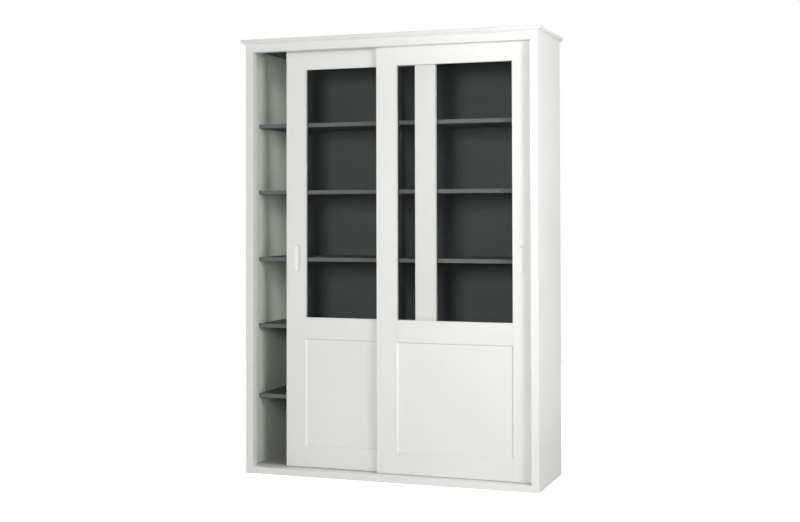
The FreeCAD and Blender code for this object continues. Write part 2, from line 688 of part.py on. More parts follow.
def make_carrier(label, centre_x, door_y):
    # housing pressed into the stile's foot, with the roller's axle riveted across it
    body = new_body(label, (centre_x, f"({door_y} + {door_middle_y})", door_z), False)
    outline = new_sketch(body)
    rectangle(outline, f"(-{carrier_length} / 2)", f"(-{carrier_width} / 2)",
              carrier_length, carrier_width)
    pad(body, outline, carrier_height)
    slot = new_sketch(body)
    rectangle(slot, f"(-{roller_slot})", f"(-{carrier_slot_width} / 2)",
              f"(2 * {roller_slot})", carrier_slot_width)
    pocket(body, slot, carrier_slot_height, backwards=True)
    axle = new_sketch(body, "XZ_Plane", f"(-{carrier_width} / 2)")
    circle(axle, "0", f"({roller_z} - {door_z})", "sizes.axle_radius")
    pad(body, axle, carrier_width)
    return body


def make_roller(label, centre_x, door_y):
    # turned wheel, its axis along Y
    body = new_body(label, (centre_x, f"({door_y} + {door_middle_y})", roller_z))
    bore = "(sizes.axle_radius + sizes.axle_clearance)"
    profile = new_sketch(body)
    rectangle(profile, bore, "(-sizes.roller_width / 2)", f"(sizes.roller_radius - {bore})",
              "sizes.roller_width")
    turned = body.newObject("PartDesign::Revolution", f"{label}_turned")
    turned.Profile = profile
    turned.ReferenceAxis = (profile, ["V_Axis"])
    turned.Angle = 360


def make_guide(label, centre_x, door_y):
    # plug in the stile's head and a thinner tongue that runs in the upper track
    body = new_body(label, (centre_x, f"({door_y} + {door_middle_y})",
                            f"({door_z} + {door_height})"), False)
    for width, height, downwards in (
            ("sizes.guide_plug_width", "sizes.guide_plug_height", True),
            (tongue_width, tongue_height, False)):
        sketch = new_sketch(body)
        rectangle(sketch, "(-sizes.guide_length / 2)", f"(-{width} / 2)",
                  "sizes.guide_length", width)
        pad(body, sketch, height, downwards)
    return body


def make_door(name, door_x, door_y, pull_side):
    for side_name in ("left", "right"):
        make_stile(name, side_name, door_x, door_y, side_name == pull_side)
    for rail_name in rails:
        make_rail(name, rail_name, door_x, door_y)

    opening_x = f"({door_x} + sizes.door_stile_width)"
    spare = "sizes.edge_clearance"
    panel_low = f"({door_z} + sizes.door_bottom_rail - sizes.groove_depth)"
    board(f"{name}_lower_panel",
          (f"({door_opening_width} + 2 * sizes.groove_depth - 2 * {spare})",
           "sizes.panel_thickness",
           f"(sizes.lower_opening_height + 2 * sizes.groove_depth - {spare})"),
          (f"({opening_x} - sizes.groove_depth + {spare})",
           f"({door_y} + sizes.panel_recess)", panel_low))
    glass_low = f"({door_z} + {window_low} - sizes.rebate_depth)"
    glass_height = f"({window_high} - {window_low} + 2 * sizes.rebate_depth)"
    board(f"{name}_glass",
          (f"({door_opening_width} + 2 * sizes.rebate_depth - 2 * {spare})",
           "sizes.glass_thickness", f"({glass_height} - {spare})"),
          (f"({opening_x} - sizes.rebate_depth + {spare})",
           f"({door_y} + sizes.glass_recess)", glass_low))

    bead_y = f"({door_y} + sizes.glass_recess + sizes.glass_thickness)"
    bead_thickness = "(sizes.door_thickness - sizes.glass_recess - sizes.glass_thickness)"
    depth = "sizes.rebate_depth"
    far_x = f"({opening_x} + {door_opening_width})"
    beads = []
    for end, low in (("bottom", glass_low), ("top", f"({door_z} + {window_high})")):
        beads.append(box(f"{name}_bead_{end}", (door_opening_width, bead_thickness, depth),
                         (opening_x, bead_y, low)))
    for end, corner_x in (("left", f"({opening_x} - {depth})"), ("right", far_x)):
        beads.append(box(f"{name}_bead_{end}", (depth, bead_thickness, glass_height),
                         (corner_x, bead_y, glass_low)))
    group(f"{name}_glazing_beads", beads)

    centres = {"left": f"({door_x} + {stile_middle})",
               "right": f"({door_x} + {door_width} - {stile_middle})"}
    group(f"{name}_roller_carriers",
          [make_carrier(f"{name}_carrier_{end}", centre, door_y)
           for end, centre in centres.items()])
    group(f"{name}_top_guides",
          [make_guide(f"{name}_guide_{end}", centre, door_y)
           for end, centre in centres.items()])
    for end, centre in centres.items():
        make_roller(f"{name}_roller_{end}", centre, door_y)


make_door("front_door", f"({closed_edge_x} - {door_width})", front_door_y, "right")
make_door("rear_door", f"(-{closed_edge_x} + sizes.door_open)", rear_door_y, "left")

# ---- check everything, then write one file for each sub-part ----
doc.recompute()
for thing in doc.Objects:
    if "Invalid" in thing.State or "Error" in thing.State:
        raise RuntimeError(f"{thing.Label} did not build: {thing.State}")
for cut in cuts:
    if cut.Shape.Volume > cut.BaseFeature.Shape.Volume - smallest_cut:
        raise RuntimeError(f"{cut.Label} removes nothing")
for node in nodes:
    if node.Shape.isNull() or not node.Shape.isValid():
        raise RuntimeError(f"{node.Label} has no valid shape")

os.makedirs("parts", exist_ok=True)
for node in nodes:
    node.Shape.exportStep(os.path.join("parts", f"{node.Label}.step"))
print(len(nodes), "sub-parts written")
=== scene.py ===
import json
import math

import bmesh
import bpy
import numpy as np
from mathutils import Matrix, Vector


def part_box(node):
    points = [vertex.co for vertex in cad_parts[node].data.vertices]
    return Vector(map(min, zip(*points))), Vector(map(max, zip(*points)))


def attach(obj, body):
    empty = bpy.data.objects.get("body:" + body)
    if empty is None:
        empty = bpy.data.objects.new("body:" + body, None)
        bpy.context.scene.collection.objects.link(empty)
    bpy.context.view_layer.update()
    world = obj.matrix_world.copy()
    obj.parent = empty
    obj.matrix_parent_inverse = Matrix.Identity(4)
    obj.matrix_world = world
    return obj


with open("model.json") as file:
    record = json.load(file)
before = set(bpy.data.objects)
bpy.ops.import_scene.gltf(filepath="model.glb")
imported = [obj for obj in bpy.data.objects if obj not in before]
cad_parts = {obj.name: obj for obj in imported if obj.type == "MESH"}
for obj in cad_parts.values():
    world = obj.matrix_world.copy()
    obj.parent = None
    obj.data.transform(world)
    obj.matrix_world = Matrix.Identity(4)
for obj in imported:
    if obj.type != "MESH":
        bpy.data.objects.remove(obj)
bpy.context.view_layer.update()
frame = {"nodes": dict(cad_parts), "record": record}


# small helpers for shader trees

def put(tree, kind, inputs=None, **settings):
    # one shader node; inputs are values, or sockets of other nodes to link from
    node = tree.nodes.new(kind)
    for name, value in settings.items():
        setattr(node, name, value)
    for socket, value in (inputs or {}).items():
        if isinstance(value, bpy.types.NodeSocket):
            tree.links.new(value, node.inputs[socket])
        else:
            node.inputs[socket].default_value = value
    return node


def sums(tree, operation, *values):
    # a Math node with its values in order
    return put(tree, "ShaderNodeMath", dict(enumerate(values)), operation=operation).outputs[0]


def spread(tree, value, low, high, newLow=0.0, newHigh=1.0):
    # value between low and high, clamped and carried over to newLow..newHigh
    sockets = {"Value": value, "From Min": low, "From Max": high, "To Min": newLow, "To Max": newHigh}
    return put(tree, "ShaderNodeMapRange", sockets, clamp=True).outputs["Result"]


def mixColours(tree, share, first, second):
    # the first colour where share is 0, the second where it is 1
    node = put(tree, "ShaderNodeMix", {"Factor": share}, data_type="RGBA")
    colourSockets = [socket for socket in node.inputs if socket.type == "RGBA"]
    for socket, value in zip(colourSockets, (first, second)):
        if isinstance(value, bpy.types.NodeSocket):
            tree.links.new(value, socket)
        else:
            socket.default_value = value
    return next(socket for socket in node.outputs if socket.type == "RGBA")


def axisOf(tree, vector, axis):
    return put(tree, "ShaderNodeSeparateXYZ", {0: vector}).outputs[axis]


def dimmedForBounces(tree, colour, keep, where=None):
    # the colour as it is, but only the share keep of it on light that is thrown on to other surfaces
    thrown = put(tree, "ShaderNodeLightPath").outputs["Is Diffuse Ray"]
    if where is not None:
        thrown = sums(tree, "MULTIPLY", where, thrown)
    kept = sums(tree, "SUBTRACT", 1.0, sums(tree, "MULTIPLY", thrown, 1.0 - keep))
    return put(tree, "ShaderNodeVectorMath", {0: colour, "Scale": kept}, operation="SCALE").outputs[0]


def startGroup(name, inputs, outputs):
    # inputs are name: default value, a vector or a number, and outputs are name: socket kind
    group = bpy.data.node_groups.new(name, "ShaderNodeTree")
    for label, value in inputs.items():
        kind = "Vector" if isinstance(value, tuple) else "Float"
        socket = group.interface.new_socket(label, in_out="INPUT", socket_type="NodeSocket" + kind)
        socket.default_value = value
    for label, kind in outputs.items():
        group.interface.new_socket(label, in_out="OUTPUT", socket_type="NodeSocket" + kind)
    return group, put(group, "NodeGroupInput").outputs, put(group, "NodeGroupOutput")


def useGroup(tree, group, **inputs):
    return put(tree, "ShaderNodeGroup", inputs, node_tree=group).outputs


def startMaterial(name):
    material = bpy.data.materials.new(name)
    material.use_nodes = True
    tree = material.node_tree
    tree.nodes.clear()
    end = put(tree, "ShaderNodeOutputMaterial")
    return material, tree, end.inputs["Surface"], put(tree, "ShaderNodeTexCoord").outputs["Object"]


def addBump(tree, height, distance, strength, normal=None):
    sockets = {"Strength": strength, "Distance": distance, "Height": height}
    if normal is not None:
        sockets["Normal"] = normal
    return put(tree, "ShaderNodeBump", sockets).outputs["Normal"]


# effects that several materials share

sharedLook = {
    "fineDetail": 2.0,
    "broadDetail": 3.0,
    "grainRoughness": 0.55,
    "middle": (0.3, 0.7),  # the part of a noise that carries most of its values
    "edgeAgreement": (0.995, 0.8),  # dot product of rounded and flat normal, from no edge to full edge
    "edgeSamples": 4,
    "dustFacing": (0.7, 1.0),  # how far a face has to look up before dust stays on it
    "dustPatches": (0.35, 0.7),
    "dustScale": 14.0,
    "dustDetail": 5.0,
}


def makeGrainGroup():
    # two noises on the same coordinates: Fine for bumps and pores, Broad for slow drifts in tone
    group, given, made = startGroup(
        "grain",
        {"Place": (0, 0, 0), "Stretch": (1, 1, 1), "Fine Scale": 1.0, "Broad Scale": 1.0},
        {"Fine": "Float", "Broad": "Float"})
    place = put(group, "ShaderNodeVectorMath", {0: given["Place"], 1: given["Stretch"]},
                operation="MULTIPLY").outputs[0]
    for label, detail in (("Fine", sharedLook["fineDetail"]), ("Broad", sharedLook["broadDetail"])):
        noise = put(group, "ShaderNodeTexNoise",
                    {"Vector": place, "Scale": given[label + " Scale"], "Detail": detail,
                     "Roughness": sharedLook["grainRoughness"]})
        group.links.new(noise.outputs["Fac"], made.inputs[label])
    return group


def makeEdgeGroup():
    # the normal of a slightly rounded edge, and a mask that is 1 along that edge
    group, given, made = startGroup("easedEdge", {"Radius": 0.0}, {"Normal": "Vector", "Edge": "Float"})
    rounded = put(group, "ShaderNodeBevel", {"Radius": given["Radius"]},
                  samples=sharedLook["edgeSamples"]).outputs["Normal"]
    flat = put(group, "ShaderNodeNewGeometry").outputs["True Normal"]
    agreement = put(group, "ShaderNodeVectorMath", {0: rounded, 1: flat},
                    operation="DOT_PRODUCT").outputs["Value"]
    group.links.new(rounded, made.inputs["Normal"])
    group.links.new(spread(group, agreement, *sharedLook["edgeAgreement"]), made.inputs["Edge"])
    return group


def makeDustGroup():
    # dust lies on faces that look up, more in some patches than in others
    group, given, made = startGroup("settledDust", {"Place": (0, 0, 0), "Amount": 0.0}, {"Dust": "Float"})
    up = axisOf(group, put(group, "ShaderNodeNewGeometry").outputs["True Normal"], "Z")
    patches = put(group, "ShaderNodeTexNoise",
                  {"Vector": given["Place"], "Scale": sharedLook["dustScale"],
                   "Detail": sharedLook["dustDetail"]}).outputs["Fac"]
    settled = sums(group, "MULTIPLY", spread(group, up, *sharedLook["dustFacing"]),
                   spread(group, patches, *sharedLook["dustPatches"]))
    group.links.new(sums(group, "MULTIPLY", settled, given["Amount"]), made.inputs["Dust"])
    return group


grainGroup = makeGrainGroup()
edgeGroup = makeEdgeGroup()
dustGroup = makeDustGroup()


# the finishes, each with its settings in front of it

lacquerLook = {
    "colour": (0.842, 0.850, 0.824, 1),  # satin white with a trace of green-yellow
    "thinColour": (0.815, 0.820, 0.785, 1),  # where the coat is a little thinner
    "thinPatches": (0.35, 0.75),
    "patchScale": 2.2,
    # painted highlight along the eased edges
    "edgeHighlightColour": (0.875, 0.880, 0.855, 1),
    "edgeRadius": 0.0012,
    "dustColour": (0.74, 0.73, 0.70, 1),
    "dust": 0.35,
    "dustRoughness": 0.6,  # what full dust adds to the roughness
    "insidePaintedLightColour": (0.905, 1.0, 0.825, 1),  # the inner side of the carcass: the white made lighter and greener, painted light and greenish shade
    "insideMargin": 0.0015,  # how far past the shelves' ends a face still counts as inside
    "insideBounce": 0.45,  # share of its colour that light thrown on from inside the carcass keeps
    "roughness": (0.36, 0.46),
    "peelScale": 420.0,
    "peelHeight": 0.00006,
    "peelStrength": 0.5,
    "ior": 1.5,
}


def makeWhiteLacquer(name, insideFrom=None):
    # insideFrom is the distance from the middle within which a face belongs to the inner side
    look = lacquerLook
    material, tree, surface, place = startMaterial(name)
    grain = useGroup(tree, grainGroup,
                     **{"Place": place, "Fine Scale": look["peelScale"], "Broad Scale": look["patchScale"]})
    edge = useGroup(tree, edgeGroup, Radius=look["edgeRadius"])
    dust = useGroup(tree, dustGroup, Place=place, Amount=look["dust"])["Dust"]
    thin = spread(tree, grain["Broad"], *look["thinPatches"])
    colour = mixColours(tree, thin, look["colour"], look["thinColour"])
    # painted highlight: the eased edges are made lighter than the coat
    colour = mixColours(tree, edge["Edge"], colour, look["edgeHighlightColour"])
    colour = mixColours(tree, dust, colour, look["dustColour"])
    if insideFrom is not None:
        inside = sums(tree, "LESS_THAN", sums(tree, "ABSOLUTE", axisOf(tree, place, "X")), insideFrom)
        # painted light and shade: the inner faces get a lighter, greener white than the outer ones
        colour = mixColours(tree, inside, colour, look["insidePaintedLightColour"])
        colour = dimmedForBounces(tree, colour, look["insideBounce"], inside)
    rough = spread(tree, grain["Broad"], *sharedLook["middle"], *look["roughness"])
    rough = sums(tree, "ADD", rough, sums(tree, "MULTIPLY", dust, look["dustRoughness"]))
    normal = addBump(tree, grain["Fine"], look["peelHeight"], look["peelStrength"], edge["Normal"])
    shader = put(tree, "ShaderNodeBsdfPrincipled",
                 {"Base Color": colour, "Roughness": rough, "Normal": normal, "IOR": look["ior"]})
    tree.links.new(shader.outputs[0], surface)
    return material


boardLook = {
    "colour": (0.122, 0.140, 0.135, 1),  # anthracite, a little cold
    "poreColour": (0.094, 0.109, 0.106, 1),
    "poreShare": (0.42, 0.62),
    "poreScale": 9.0,
    "poreHeight": 0.00005,
    "poreStrength": 0.6,
    "lyingPores": (14.0, 90.0, 90.0),  # pores run along a lying board
    "standingPores": (90.0, 90.0, 14.0),  # and up a standing one
    "speckleScale": 1600.0,
    "speckleDetail": 1.0,
    "speckleHeight": 0.5,  # as a share of the pores' height
    "edgingColour": (0.155, 0.164, 0.160, 1),  # the band glued along a shelf's front edge
    "edgingThickness": 0.001,
    "lighterEdgeColour": (0.2, 0.205, 0.2, 1),  # lighter along the edges
    "edgeLightening": 0.35,
    "edgeRadius": 0.0008,
    "paleColour": (0.56, 0.555, 0.55, 1),  # what the lowest board leans to
    "paleness": 0.8,  # and by how much
    "dustColour": (0.30, 0.29, 0.27, 1),
    "dust": 0.05,
    "heavyDust": 0.3,  # on the lowest and the highest board
    "roughness": (0.62, 0.74),
    "ior": 1.5,
    "gloss": 0.25,
    "bounce": 0.4,  # share of its colour that light thrown on from it keeps
}


def makeAnthraciteBoard(name, stretch, dustAmount, frontEdge=None, paleness=0.0):
    # frontEdge is the Y of the edge that carries the band, or None for a board without one
    look = boardLook
    material, tree, surface, place = startMaterial(name)
    grain = useGroup(tree, grainGroup,
                     **{"Place": place, "Stretch": stretch, "Fine Scale": look["poreScale"]})
    speckle = put(tree, "ShaderNodeTexNoise",
                  {"Vector": place, "Scale": look["speckleScale"],
                   "Detail": look["speckleDetail"]}).outputs["Fac"]
    edge = useGroup(tree, edgeGroup, Radius=look["edgeRadius"])
    dust = useGroup(tree, dustGroup, Place=place, Amount=dustAmount)["Dust"]
    pores = spread(tree, grain["Fine"], *look["poreShare"])
    colour = mixColours(tree, pores, look["poreColour"], look["colour"])
    if frontEdge is not None:
        band = sums(tree, "LESS_THAN", axisOf(tree, place, "Y"), frontEdge + look["edgingThickness"])
        colour = mixColours(tree, band, colour, look["edgingColour"])
    colour = mixColours(tree, paleness, colour, look["paleColour"])
    # the board is made lighter along its eased edges
    edgeLightening = sums(tree, "MULTIPLY", edge["Edge"], look["edgeLightening"])
    colour = mixColours(tree, edgeLightening, colour, look["lighterEdgeColour"])
    colour = mixColours(tree, dust, colour, look["dustColour"])
    colour = dimmedForBounces(tree, colour, look["bounce"])
    rough = spread(tree, speckle, *sharedLook["middle"], *look["roughness"])
    height = sums(tree, "ADD", grain["Fine"], sums(tree, "MULTIPLY", speckle, look["speckleHeight"]))
    normal = addBump(tree, height, look["poreHeight"], look["poreStrength"], edge["Normal"])
    shader = put(tree, "ShaderNodeBsdfPrincipled",
                 {"Base Color": colour, "Roughness": rough, "Normal": normal, "IOR": look["ior"],
                  "Specular IOR Level": look["gloss"]})
    tree.links.new(shader.outputs[0], surface)
    return material


glassLook = {
    "colour": (0.996, 0.992, 0.988, 1),
    "driftColour": (0.992, 0.989, 0.984, 1),
    "shade": (0.955, 0.957, 0.950, 1),  # what a lamp's light keeps at each face
    "ior": 1.42,
    "waveScale": 6.0,
    "waveDetail": 1.0,
    "waveHeight": 0.0002,
    "waveStrength": 0.2,
}


def makeWindowGlass():
    # lamps and soft light pass straight through; the eye sees clear glass with its reflections
    look = glassLook
    material, tree, surface, place = startMaterial("windowGlass")
    drift = put(tree, "ShaderNodeTexNoise",
                {"Vector": place, "Scale": look["waveScale"], "Detail": look["waveDetail"]}).outputs["Fac"]
    waves = addBump(tree, drift, look["waveHeight"], look["waveStrength"])
    tint = mixColours(tree, drift, look["colour"], look["driftColour"])
    pane = put(tree, "ShaderNodeBsdfPrincipled",
               {"Base Color": tint, "Roughness": 0.0, "IOR": look["ior"], "Transmission Weight": 1.0,
                "Normal": waves})
    through = put(tree, "ShaderNodeBsdfTransparent", {"Color": look["shade"]})
    rays = put(tree, "ShaderNodeLightPath").outputs
    passing = sums(tree, "MAXIMUM", rays["Is Shadow Ray"], rays["Is Diffuse Ray"])
    mixed = put(tree, "ShaderNodeMixShader", {0: passing, 1: pane.outputs[0], 2: through.outputs[0]})
    tree.links.new(mixed.outputs[0], surface)
    return material


trackLook = {
    "colour": (0.74, 0.75, 0.76, 1),
    "brightColour": (0.83, 0.84, 0.85, 1),
    "brightLines": (0.35, 0.65),
    "roughness": (0.28, 0.42),
    "drawing": (1, 60, 60),  # fine lines run along the track
    "lineScale": 40.0,
    "lineHeight": 0.00003,
    "lineStrength": 0.4,
    "edgeRadius": 0.0003,
}


def makeTrackAluminium():
    look = trackLook
    material, tree, surface, place = startMaterial("trackAluminium")
    grain = useGroup(tree, grainGroup,
                     **{"Place": place, "Stretch": look["drawing"], "Fine Scale": look["lineScale"]})
    lines = grain["Fine"]
    edge = useGroup(tree, edgeGroup, Radius=look["edgeRadius"])
    bright = spread(tree, lines, *look["brightLines"])
    colour = mixColours(tree, bright, look["colour"], look["brightColour"])
    rough = spread(tree, lines, *sharedLook["middle"], *look["roughness"])
    normal = addBump(tree, lines, look["lineHeight"], look["lineStrength"], edge["Normal"])
    shader = put(tree, "ShaderNodeBsdfPrincipled",
                 {"Base Color": colour, "Metallic": 1.0, "Roughness": rough, "Normal": normal})
    tree.links.new(shader.outputs[0], surface)
    return material


plasticLook = {
    "pitScale": 1500.0,  # fine spark-eroded grain
    "pitHeight": 0.00004,
    "pitStrength": 0.5,
    "wearScale": 60.0,
    "wearPatches": (0.4, 0.8),
    "edgeWear": 0.6,
    "edgeRadius": 0.0004,
}

plasticKinds = {
    # colour, colour where it has been handled, roughness
    "rollerNylon": ((0.78, 0.77, 0.72, 1), (0.84, 0.83, 0.79, 1), (0.38, 0.5)),
    "carrierPlastic": ((0.16, 0.16, 0.165, 1), (0.24, 0.24, 0.24, 1), (0.42, 0.55)),
    "stopRubber": ((0.025, 0.025, 0.026, 1), (0.05, 0.05, 0.05, 1), (0.7, 0.85)),
}


def makeMouldedPlastic(name):
    look = plasticLook
    colour, worn, roughness = plasticKinds[name]
    material, tree, surface, place = startMaterial(name)
    grain = useGroup(tree, grainGroup,
                     **{"Place": place, "Fine Scale": look["pitScale"], "Broad Scale": look["wearScale"]})
    edge = useGroup(tree, edgeGroup, Radius=look["edgeRadius"])
    tone = mixColours(tree, spread(tree, grain["Broad"], *look["wearPatches"]), colour, worn)
    tone = mixColours(tree, sums(tree, "MULTIPLY", edge["Edge"], look["edgeWear"]), tone, worn)
    rough = spread(tree, grain["Fine"], *sharedLook["middle"], *roughness)
    normal = addBump(tree, grain["Fine"], look["pitHeight"], look["pitStrength"], edge["Normal"])
    shader = put(tree, "ShaderNodeBsdfPrincipled",
                 {"Base Color": tone, "Roughness": rough, "Normal": normal})
    tree.links.new(shader.outputs[0], surface)
    return material


steelLook = {
    "colour": (0.70, 0.69, 0.66, 1),
    "dullColour": (0.56, 0.55, 0.53, 1),
    "dullPatches": (0.35, 0.7),
    "patchScale": 90.0,
    "roughness": (0.22, 0.38),
    "markScale": 700.0,
    "markHeight": 0.00003,
    "markStrength": 0.4,
}


def makePlatedSteel():
    look = steelLook
    material, tree, surface, place = startMaterial("pinSteel")
    grain = useGroup(tree, grainGroup,
                     **{"Place": place, "Fine Scale": look["markScale"], "Broad Scale": look["patchScale"]})
    dull = spread(tree, grain["Broad"], *look["dullPatches"])
    colour = mixColours(tree, dull, look["colour"], look["dullColour"])
    rough = spread(tree, grain["Fine"], *sharedLook["middle"], *look["roughness"])
    normal = addBump(tree, grain["Fine"], look["markHeight"], look["markStrength"])
    shader = put(tree, "ShaderNodeBsdfPrincipled",
                 {"Base Color": colour, "Metallic": 1.0, "Roughness": rough, "Normal": normal})
    tree.links.new(shader.outputs[0], surface)
    return material


# which finish each frame node gets

shelfEnds = (abs(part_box("shelf_left_1")[0].x), abs(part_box("shelf_right_1")[1].x))
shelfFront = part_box("shelf_left_1")[0].y
lying, standing = boardLook["lyingPores"], boardLook["standingPores"]
dust, heavyDust = boardLook["dust"], boardLook["heavyDust"]

whiteLacquer = makeWhiteLacquer("whiteLacquer")
sideLacquerWithPaintedLight = makeWhiteLacquer("sideLacquerWithPaintedLight", min(shelfEnds) + lacquerLook["insideMargin"])
pinSteel = makePlatedSteel()
shelfBoard = makeAnthraciteBoard("shelfBoard", lying, dust, frontEdge=shelfFront)
carcassBoard = makeAnthraciteBoard("carcassBoard", standing, dust)
ceilingBoard = makeAnthraciteBoard("ceilingBoard", lying, heavyDust)
floorBoard = makeAnthraciteBoard("floorBoard", lying, heavyDust, paleness=boardLook["paleness"])

slotFinishes = {
    "white_lacquer": whiteLacquer,
    "window_glass": makeWindowGlass(),
    "track_aluminium": makeTrackAluminium(),
    "roller_plastic": makeMouldedPlastic("rollerNylon"),
    "carrier_plastic": makeMouldedPlastic("carrierPlastic"),
    "pin_steel": pinSteel,
    "stop_rubber": makeMouldedPlastic("stopRubber"),
    "anthracite_board": carcassBoard,
}

nodeFinishes = {
    # nodes whose finish differs from that of their slot
    "side_panel_left": sideLacquerWithPaintedLight,
    "side_panel_right": sideLacquerWithPaintedLight,
    "bottom_panel": floorBoard,
    "top_panel": ceilingBoard,
}


def chooseFinish(node, slot):
    if node.startswith("shelf_") and slot == "anthracite_board":
        return shelfBoard
    return nodeFinishes.get(node, slotFinishes[slot])


for subpart in frame["record"]["subparts"]:
    cadNode = frame["nodes"][subpart["node"]]
    cadNode.data.materials.clear()
    cadNode.data.materials.append(chooseFinish(subpart["node"], subpart["material_slot"]))
print("finishes set")


# trim and small fasteners that the solids leave out

def addPiece(name, points, faces, material, body):
    # a closed mesh with its normals turned outward, riding on a CAD body
    mesh = bpy.data.meshes.new(name)
    mesh.from_pydata(points.tolist(), [], faces)
    mesh.materials.append(material)
    solid = bmesh.new()
    solid.from_mesh(mesh)
    bmesh.ops.recalc_face_normals(solid, faces=solid.faces)
    solid.to_mesh(mesh)
    solid.free()
    piece = bpy.data.objects.new(name, mesh)
    bpy.context.scene.collection.objects.link(piece)
    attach(piece, body)
    return piece


def ringQuads(ringCount, pointCount):
    # quads between neighbouring rings of the same number of points, each ring closed on itself
    ring, point = np.meshgrid(np.arange(ringCount - 1), np.arange(pointCount), indexing="ij")
    near = ring * pointCount + point
    following = ring * pointCount + (point + 1) % pointCount
    return np.stack((near, following, following + pointCount, near + pointCount), axis=2).reshape(-1, 4)


pullLook = {
    "edgeDistance": 0.060,  # outer edge of the door to the middle of the pull
    "height": 1.006,  # bottom of the door to the middle
    "radius": 0.0119,
    "halfRun": 0.053,  # middle to where the round end begins
    "rim": 0.0013,  # depths below the door's face: of the rim, the hollow's middle and the cup's back
    "middle": 0.0095,
    "back": 0.0119,
    "innermost": 0.04,  # radius of the smallest ring, as a share
    "rings": 14,
    "turns": 24,  # points in each round end
}


def makePullCup(name, door, side):
    # a long hollow with round ends: depth = rim + (middle - rim) * cos(share of the radius * quarter turn),
    # x = across + share * radius * cos(turn), z = centre + half run + share * radius * sin(turn) at the
    # upper end, and centre - half run with the same at the lower one
    look = pullLook
    low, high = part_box(door + "_stile_" + side)
    across = low.x + look["edgeDistance"] if side == "left" else high.x - look["edgeDistance"]
    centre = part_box(door + "_bottom_rail")[0].z + look["height"]
    turns = np.linspace(0, math.pi, look["turns"])
    turns = np.concatenate((turns, turns + math.pi))
    ends = np.repeat((look["halfRun"], -look["halfRun"]), look["turns"])
    shares = np.linspace(1.0, look["innermost"], look["rings"])
    depths = look["rim"] + (look["middle"] - look["rim"]) * np.cos(shares * math.pi / 2)
    shares, depths = np.insert(shares, 0, 1.0), np.insert(depths, 0, look["back"])
    reach = shares[:, None] * look["radius"]
    deep = np.broadcast_to(low.y + depths[:, None], (len(shares), len(turns)))
    points = np.stack((across + reach * np.cos(turns), deep, centre + ends + reach * np.sin(turns)), axis=2)
    backRing = np.arange(len(turns))
    innerRing = (len(shares) - 1) * len(turns) + backRing
    faces = ringQuads(len(shares), len(turns)).tolist() + [backRing.tolist(), innerRing.tolist()]
    cup = addPiece(name, points.reshape(-1, 3), faces, whiteLacquer, door)
    cup.data.shade_smooth()


mouldingLook = {
    "width": 0.0060,  # how far it reaches over the panel
    "step": 0.0010,  # from the door's face to where the slope begins
}


def makePanelMoulding(name, door):
    # a sloped bead round the lower panel, its three-cornered section carried to the panel's four corners:
    # place = corner + reach * (inward across, inward upward), the same reach both ways, which gives mitres
    look = mouldingLook
    left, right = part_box(door + "_stile_left")[1].x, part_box(door + "_stile_right")[0].x
    foot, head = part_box(door + "_bottom_rail")[1].z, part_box(door + "_mid_rail")[0].z
    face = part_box(door + "_stile_left")[0].y
    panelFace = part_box(door + "_lower_panel")[0].y
    corners = np.array([(left, foot), (right, foot), (right, head), (left, head)])
    inward = np.array([(1, 1), (-1, 1), (-1, -1), (1, -1)])
    section = np.array([(0.0, face + look["step"]), (look["width"], panelFace), (0.0, panelFace)])
    across = corners[None, :, 0] + section[:, :1] * inward[None, :, 0]
    upward = corners[None, :, 1] + section[:, :1] * inward[None, :, 1]
    deep = np.broadcast_to(section[:, 1:], across.shape)
    points = np.stack((across, deep, upward), axis=2).reshape(-1, 3)
    quads = ringQuads(len(section) + 1, len(corners)) % len(points)  # the last ring is the first again
    addPiece(name, points, quads.tolist(), whiteLacquer, door)


for door, side in (("front_door", "right"), ("rear_door", "left")):
    makePullCup(door + "_pull_cup", door, side)
    makePanelMoulding(door + "_panel_moulding", door)


nailLook = {
    "radius": 0.0024,
    "height": 0.0004,  # how far the head stands proud of the panel
    "sunk": 0.0006,
    "inset": 0.006,  # from the panel's edge to the row of nails
    "pitch": 0.14,
    "turns": 20,
    "rings": ((0.45, 0.97), (0.8, 0.82), (0.95, 0.5), (1.0, 0.0)),  # share of the radius and of the height
}


def nailPlaces(node):
    # evenly along the four edges of a back panel, each row a little in from the edge
    low, high = (np.array(corner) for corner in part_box(node))
    left, right = low[0] + nailLook["inset"], high[0] - nailLook["inset"]
    foot, head = low[2] + nailLook["inset"], high[2] - nailLook["inset"]
    up = np.linspace(foot, head, int(round((head - foot) / nailLook["pitch"])) + 1)
    across = np.linspace(left, right, int(round((right - left) / nailLook["pitch"])) + 1)[1:-1]
    columns = [np.column_stack((np.full_like(up, x), up)) for x in (left, right)]
    rows = [np.column_stack((across, np.full_like(across, z))) for z in (foot, head)]
    return np.vstack(columns + rows), high[1]


